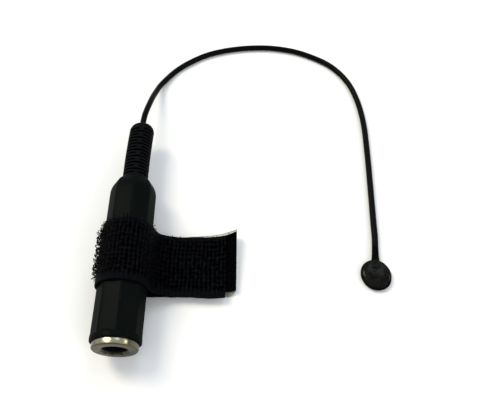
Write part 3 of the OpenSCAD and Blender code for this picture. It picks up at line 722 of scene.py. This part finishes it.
def strip(name, line, near, far, thickness, across, shape=None):
    """A strip of sheet along a line of [x, z] points, its width along the barrel, in mm."""
    bpy.ops.object.select_all(action="DESELECT")
    bpy.ops.mesh.primitive_grid_add(
        x_subdivisions=len(line) - 1, y_subdivisions=across, size=2)
    piece = bpy.context.object
    piece.name = piece.data.name = name
    length = sum((b - a).length for a, b in zip(line, line[1:]))
    for corner in piece.data.vertices:
        i = round((corner.co.x + 1) / 2 * (len(line) - 1))
        share = (corner.co.y + 1) / 2
        x, z = line[i]
        y = near + (far - near) * share
        y += 0.09 * noise.noise(Vector((x * 0.5, z * 0.5, 40 * share)))
        if shape:
            x, y, z = shape(x, y, z, share)
        corner.co = Vector((x, y, z + lifted(x, y))) * mm
    for loop in piece.data.uv_layers[0].data:
        loop.uv = (loop.uv[0] * length, loop.uv[1] * (far - near))
    bpy.ops.object.mode_set(mode="EDIT")
    bpy.ops.mesh.select_all(action="SELECT")
    bpy.ops.mesh.flip_normals()
    bpy.ops.object.mode_set(mode="OBJECT")
    modifier(piece, "SOLIDIFY", thickness=thickness * mm, offset=0)
    modifier(piece, "BEVEL", width=min(0.3 * thickness, 0.12) * mm, segments=2,
             limit_method="ANGLE", angle_limit=0.9)
    smoothed(piece, 50)
    return piece, length


tape_line, tape_length = evenly(curve_through([Vector(p) for p in tape_route], 6), 0.35)


def bowed(x, y, z, share):
    """The flap's near edge bulges a little, as the tape has been pulled open often."""
    bulge = 0.45 * (1 - share) * math.exp(-((x - 25) / 5) ** 2)
    return x, y - (bulge if x > hinge_x else 0), z


tape, _ = strip("hook_tape", tape_line, tape_near, tape_far, tape_thickness, 40, bowed)

# Ribs and picks of the weave, with painted shade in the pits between the hooks' feet. The edges
# have none.
nylon = Finish("hook_tape", {"Specular IOR Level": 0.03})
on_tape = nylon.node("TexCoord", output="UV")
sideways = nylon.node("SeparateXYZ", None, {0: on_tape}, "Y")
threads_along = nylon.node("TexWave", {"bands_direction": "Y"},
                           {"Vector": on_tape, "Scale": 0.9, "Distortion": 1.5})
threads_over = nylon.node("TexWave", {"bands_direction": "X"},
                          {"Vector": on_tape, "Scale": 1.1, "Distortion": 1.5})
selvedge = nylon.steps((sideways - 10) * (sideways - 10), 64.0, 69.0)
ribs = nylon.node("TexWave", {"bands_direction": "X"},
                  {"Vector": on_tape, "Scale": 0.25, "Distortion": 2.5, "Detail Scale": 0.6})
picks = nylon.node("TexWave", {"bands_direction": "Y"},
                   {"Vector": on_tape, "Scale": 0.21, "Distortion": 3.0, "Detail Scale": 0.8})
weave = threads_along * 0.6 + threads_over * 0.4
fluff = nylon.grain((1.4, 1.4, 1.4), 4.0, where="UV")
tufts = nylon.steps(nylon.grain((0.75, 0.9, 1.0), 2.0, where="UV"), 0.42, 0.66)
# Painted shade: the pits are painted near-black and made metallic, so that they take no diffuse
# light.
pits = nylon.steps(ribs * 0.42 + picks * 0.34 + tufts * 0.34, 0.62, 0.38) * (1.0 - selvedge)
tape_shade = nylon.mixed((0.0002, 0.0003, 0.0006, 1), (0.0075, 0.0082, 0.0105, 1),
                         (weave * 0.5 + ribs * 0.5) * (fluff * 0.5 + tufts * 0.6))
tape_shade = nylon.mixed(tape_shade, (0.0001, 0.0001, 0.0002, 1), pits)
nylon_material = nylon.finished({
    "Base Color": nylon.mixed(tape_shade, (0.0016, 0.0020, 0.0036, 1), selvedge * weave),
    "Metallic": pits * 0.9,
    "Roughness": 0.62 + fluff * 0.25 - selvedge * 0.12,
}, weave + fluff * 0.4 + ribs * 0.8, 0.07 * mm)
tape.data.materials.clear()
tape.data.materials.append(nylon_material)
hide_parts("strap_collar", "flap_upper", "flap_lower")
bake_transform(tape)


# ---- hooks ----
# Rows of nylon monofilament hooks stand on the tape's outer side, each a loop that was cut
# open on one side. On the barrel's left, and along the far edge, they are bent and tangled
# from being pulled open.

hook_wire = 0.1
foot_depth = 0.24    # from the tape's middle to where a hook stands

hook_shapes = {
    "cut": [(0, 0, -0.1), (0, 0, 0.3), (0.02, 0, 0.52), (0.12, 0, 0.71), (0.28, 0, 0.78),
            (0.42, 0, 0.68), (0.46, 0, 0.5)],
    "leaning": [(0, 0, -0.1), (0.04, 0, 0.25), (0.13, 0.03, 0.5), (0.3, 0.06, 0.68),
                (0.5, 0.08, 0.68), (0.6, 0.08, 0.52)],
    "whole": [(0, 0, -0.1), (0, 0, 0.35), (0.08, 0, 0.64), (0.26, 0, 0.8), (0.46, 0, 0.68),
              (0.54, 0, 0.38), (0.54, 0, -0.1)],
    "opened": [(0, 0, -0.1), (0.02, 0, 0.3), (0.1, 0.08, 0.6), (0.26, 0.14, 0.84),
               (0.46, 0.1, 0.98), (0.62, 0, 0.94)],
    "curled": [(0, 0, -0.1), (0.05, 0.05, 0.35), (0.2, 0.12, 0.72), (0.46, 0.1, 0.94),
               (0.7, -0.02, 0.86), (0.72, -0.12, 0.6), (0.5, -0.14, 0.5)],
}
hook_models = {}
for kind, shape in hook_shapes.items():
    hook_models[kind] = wire("hook_" + kind, shape, hook_wire, 0)
    for face in hook_models[kind].data.polygons:
        face.use_smooth = True

chance = random.Random(7)
row_step = 1.25
rows = int((tape_length - 1.0) / row_step)
planted = []
for row in range(rows + 1):
    i = round((0.6 + row * row_step) / tape_length * (len(tape_line) - 1))
    here, after = tape_line[max(i, 1)], tape_line[min(max(i, 1) + 1, len(tape_line) - 1)]
    before = tape_line[max(i, 1) - 1]
    along = (after - before).normalized()
    out = Vector((-along.y, along.x))
    # The tape's line is flat, so y of a point on it is its height
    at_hinge = 7.0 < here.x < 12.0 and here.y < -6
    if not at_hinge and not here.x > 28.9:
        left = here.x < -5.2
        below = here.y < -6.6 and here.x < 7
        inner_layer = here.x > 8 and here.y < -6
        last_y = 36.6 if here.y > 0 else 36.1
        y = 19.1 + chance.uniform(0, 0.5)
        while y < last_y:
            combed = y > 35.6 and here.y > 5.2
            kind = chance.choice(
                ["opened", "opened", "curled", "curled", "leaning"] if left or y > 35
                else ["cut", "cut", "cut", "leaning", "whole"])
            tall = chance.uniform(1.05, 1.6) if left else chance.uniform(0.85, 1.05)
            if left and (not 20.7 - 0.43 * here.y < y < 35 or chance.random() < 0.55):
                tall = 0.6
            elif combed:
                tall = chance.uniform(1.2, 1.8)
            if below or inner_layer:
                tall = 0.72
            yaw = math.radians(90 * (-1) ** row + chance.gauss(0, 38 if left else 22))
            lean = math.radians(chance.gauss(0, 22 if left else 9))
            if combed:
                lean = -math.radians(chance.uniform(10, 50))
            # A hook's x runs along the tape and its z out of it
            stand = Matrix(((along.x, 0, out.x, 0), (0, 1, 0, 0), (along.y, 0, out.y, 0),
                            (0, 0, 0, 1)))
            foot = Vector((here.x + out.x * foot_depth, y, here.y + out.y * foot_depth))
            foot.z += lifted(foot.x, foot.y)
            placed = (Matrix.Translation(foot * mm) @ stand @ Matrix.Rotation(lean, 4, "X")
                      @ Matrix.Rotation(yaw, 4, "Z") @ Matrix.Diagonal((tall,) * 3).to_4x4())
            copy = bpy.data.objects.new("hook", hook_models[kind].data.copy())
            copy.data.transform(placed)
            bpy.context.collection.objects.link(copy)
            planted.append(copy)
            y += chance.uniform(0.4, 0.66) if left else chance.uniform(0.9, 1.3)
hooks = joined("tape_hooks", planted)
for model in hook_models.values():
    bpy.data.objects.remove(model)
for corner in hooks.data.vertices:
    corner.co.z = max(corner.co.z, (table_height + 0.02) * mm)

filament = Finish("hook_filament", {"Specular IOR Level": 0.045})
kinks = filament.grain((1600, 1600, 1600), 3.0)
hooks.data.materials.clear()
hooks.data.materials.append(filament.finished({
    "Base Color": filament.mixed((0.0002, 0.0003, 0.0006, 1), (0.0026, 0.0029, 0.0040, 1), kinks),
    "Roughness": 0.26 + kinks * 0.2,
}, kinks, 0.01 * mm))
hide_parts("collar_hooks", "flap_hooks")
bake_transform(hooks)
tape_length * mm


# ---- flap glue ----
# Contact cement, brushed on the facing sides of the tape's two ends and left to go tacky. They
# are then pressed together, and a thin line of it shows at the flap's edges.

glue_height = -6.115
glue_line, _ = evenly([Vector((16, glue_height)), Vector((29.1, glue_height))], 0.6)
glue, _ = strip("flap_cement", glue_line, 17.5, 36.5, 0.13, 24)
cement = Finish("cement", {"IOR": 1.5})
bubbles = cement.grain((1500, 1500, 1500), 4.0)
dressed(glue, "flap", "adhesive", cement.finished({
    "Base Color": cement.mixed((0.030, 0.028, 0.022, 1), (0.07, 0.062, 0.045, 1), bubbles),
    "Roughness": 0.3 + bubbles * 0.3,
}, bubbles, 0.02 * mm), "flap_adhesive")


# ---- loop patch ----
# Black loop tape pressed on the flap's hooks from below, stuck on askew and curling up at
# its free end: a woven ground under a napped mat of fine nylon loops.

patch_start, patch_end, curl_start = 12.6, 32.6, 29.7
mat_height, loop_height = -7.43, -7.12


def askew(x, y, z, share):
    """Stuck on at a slight angle, with its free end curling up beyond the flap."""
    curl = 0.05 * max(0.0, x - curl_start) ** 2
    return x, y + 0.05 * (x - patch_start), z + curl


def flat_line(z, end=patch_end):
    return evenly([Vector((patch_start, z)), Vector((end, z))], 0.5)[0]


ground, patch_length = strip("loop_ground", flat_line(-8.005), 18.5, 37.0, 0.45, 36, askew)
mat_line, _ = evenly([Vector((12.65, mat_height)), Vector((32.5, mat_height))], 0.28)
mat, _ = strip("loop_mat", mat_line, 18.75, 36.75, 0.72, 64, askew)
for corner in mat.data.vertices:
    at = corner.co / mm
    nap = 0.11 * noise.noise(at * 2.6) + 0.07 * noise.noise(at * 6.0)
    corner.co += Vector((0.4 * nap, 0.4 * nap, nap)) * mm

loop_nylon = Finish("loop_pile", {"Specular IOR Level": 0.012})
nap_cloud = loop_nylon.grain((1500, 1500, 1500), 4.0)
nap_fine = loop_nylon.grain((5000, 3000, 5000), 3.0)
loop_material = loop_nylon.finished({
    "Base Color": loop_nylon.mixed((0.0003, 0.0004, 0.0007, 1), (0.0020, 0.0022, 0.0030, 1),
                                   nap_cloud * nap_fine * 2.0),
    "Roughness": 0.7 + nap_cloud * 0.2,
}, nap_cloud + nap_fine, 0.08 * mm)
dressed(ground, "patch", "loop_pile", loop_material, "loop_patch")
dressed(mat, "patch", "loop_pile", loop_material, "loop_patch")

loop_model = wire("loop", [(0, 0, -0.1), (-0.1, 0, 0.16), (-0.08, 0, 0.34), (0.05, 0, 0.44),
                           (0.18, 0, 0.36), (0.2, 0, 0.18), (0.1, 0, -0.1)], 0.045, 0)
planted = []
for k in range(1500):
    x, y = 12.9 + 19.4 * chance.random(), 18.9 + 17.7 * chance.random()
    # Fewer stand under the flap, where its hooks press them down
    if x < 29.2 and chance.random() < 0.35 and 19.6 < y < 36:
        continue
    x, y, z = askew(x, y, loop_height, 0)
    z += lifted(x, y)
    tilt = 0.06 * past_curl(x, y) + 0.1 * max(0.0, x - curl_start)
    copy = bpy.data.objects.new("loop", loop_model.data.copy())
    copy.data.transform(
        Matrix.Translation(Vector((x, y, z)) * mm)
        @ Matrix.Rotation(-math.atan(tilt), 4, "Y")
        @ Matrix.Rotation(chance.uniform(0, 6.283), 4, "Z")    # any way round
        @ Matrix.Rotation(chance.gauss(0, 0.5), 4, "X")
        @ Matrix.Diagonal((chance.uniform(0.8, 1.25),) * 3).to_4x4())
    bpy.context.collection.objects.link(copy)
    planted.append(copy)
pile = joined("loop_pile", planted)
bpy.data.objects.remove(loop_model)
for face in pile.data.polygons:
    face.use_smooth = True
dressed(pile, "patch", "loop_pile", loop_material)


# ---- patch adhesive and liner ----
# The patch's pressure sensitive adhesive still has its siliconed paper on. The paper is cut
# wider than the patch, rounded at one corner, and shows at both edges. Along its far edge a
# pale strip is a painted highlight and a dark rim outside it is painted shade.

adhesive, _ = strip("patch_glue", flat_line(-8.355, 32.5), 18.6, 36.9, 0.25, 24, askew)
sticky = Finish("adhesive", {"IOR": 1.48})
ripple = sticky.grain((900, 900, 900), 3.0)
dressed(adhesive, "patch", "adhesive", sticky.finished({
    "Base Color": sticky.mixed((0.42, 0.38, 0.28, 1), (0.30, 0.27, 0.19, 1), ripple),
    "Roughness": 0.25 + ripple * 0.25,
}, ripple, 0.02 * mm), "patch_adhesive")


def paper_shape(x, y, z, share):
    """Cut a little out of square, with its near free corner rounded."""
    x -= 0.015 * (x - patch_start) * min(1, 5 * (1 - share))
    x, y, z = askew(x, y - 0.04 * (x - patch_start) * (1 - share), z, share)
    corner = min(1, max(0.0, x - 29.9) / 2.9)
    if share < 0.5:
        y += 2.5 * (1 - math.sqrt(max(0.0, 1 - corner ** 2))) * (1 - 2 * share) ** 2
    return x, y, z


liner, liner_length = strip("liner_paper", flat_line(-8.54, 32.8), 17.8, 38.1, 0.12, 44,
                            paper_shape)
paper = Finish("liner_paper", {"IOR": 1.45})
fibre = paper.grain((3500, 3500, 3500), 4.0)
stain = paper.grain((160, 160, 160), 2.0)
paper_shade = paper.mixed((0.20, 0.195, 0.155, 1), (0.34, 0.335, 0.29, 1), stain)
sideways = paper.node("SeparateXYZ", None, {0: paper.node("TexCoord", output="UV")}, "Y")
# Painted highlight and painted shade along the far edge, standing in for its curl.
painted_highlight_strip = paper.steps(sideways, 19.6, 19.7)
painted_shade_rim = paper.steps(sideways, 20.02, 20.1)
paper_shade = paper.mixed(paper_shade, (0.75, 0.75, 0.72, 1), painted_highlight_strip)
paper_shade = paper.mixed(paper_shade, (0.10, 0.10, 0.095, 1), painted_shade_rim)
dressed(liner, "patch", "liner_paper", paper.finished({
    "Base Color": paper.mixed(paper_shade, (0.15, 0.145, 0.11, 1), fibre * 0.4),
    "Roughness": 0.32 + fibre * 0.2,
}, fibre, 0.012 * mm), "release_liner")


# ---- studio ----
# A plain white table under an even white sky. A broad soft box stands in front on the right,
# a bluish and a large warm panel hang over the back, and a small warm lamp is on the right.

bpy.ops.object.select_all(action="DESELECT")
bpy.ops.mesh.primitive_plane_add(size=4, location=(0, 0, 0))
floor = bpy.context.object
floor.name = "table_top"
floor.data.transform(Matrix.Translation((0, 0, table_height * mm)))
white = Finish("table_white", {"Roughness": 0.6, "Specular IOR Level": 0.2})
weather = white.grain((3, 3, 3), 2.0)
floor.data.materials.append(white.finished({
    "Base Color": white.mixed((0.92, 0.92, 0.92, 1), (0.95, 0.95, 0.95, 1), weather)}))

world = bpy.data.worlds.new("studio")
bpy.context.scene.world = world
world.use_nodes = True
world.node_tree.nodes["Background"].inputs["Color"].default_value = (0.91, 0.95, 1.0, 1)
world.node_tree.nodes["Background"].inputs["Strength"].default_value = 0.64

aim = Vector((0.02, 0.04, 0))
for name, spot, width, depth, watts, colour in (
    ("soft_box", (1.2, -0.9, 1.1), 1.0, 1.0, 7, (1.0, 0.99, 0.97)),
    ("sky_panel", (0.38, 0.88, 1.2), 0.6, 0.6, 3.6, (0.72, 0.84, 1.0)),
    ("left_panel", (-0.77, 0.60, 1.22), 0.45, 0.85, 14, (1.0, 0.93, 0.74)),
    ("right_lamp", (1.28, 0.43, 0.65), 0.25, 0.2, 1.6, (1.0, 0.95, 0.70)),
):
    light = bpy.data.lights.new(name, "AREA")
    light.shape, light.size, light.size_y = "RECTANGLE", width, depth
    light.energy, light.color = watts, colour
    lamp = bpy.data.objects.new(name, light)
    lamp.location = spot
    lamp.rotation_euler = (aim - Vector(spot)).to_track_quat("-Z", "Y").to_euler()
    bpy.context.collection.objects.link(lamp)

focal_length, picture_width = 573.95, 500    # in pixels
downwards = 59.56    # degrees that the camera looks down from level

lens = bpy.data.cameras.new("camera")
lens.sensor_width, lens.lens = 36, 36 * focal_length / picture_width
lens.clip_start, lens.clip_end = 0.01, 20
camera = bpy.data.objects.new("camera", lens)
camera.location = Vector((36.8, -45.85, 154.34)) * mm
camera.rotation_euler = (math.radians(90 - downwards), 0, 0)
bpy.context.collection.objects.link(camera)
bpy.context.scene.camera = camera
bpy.context.scene.view_settings.view_transform = "Standard"
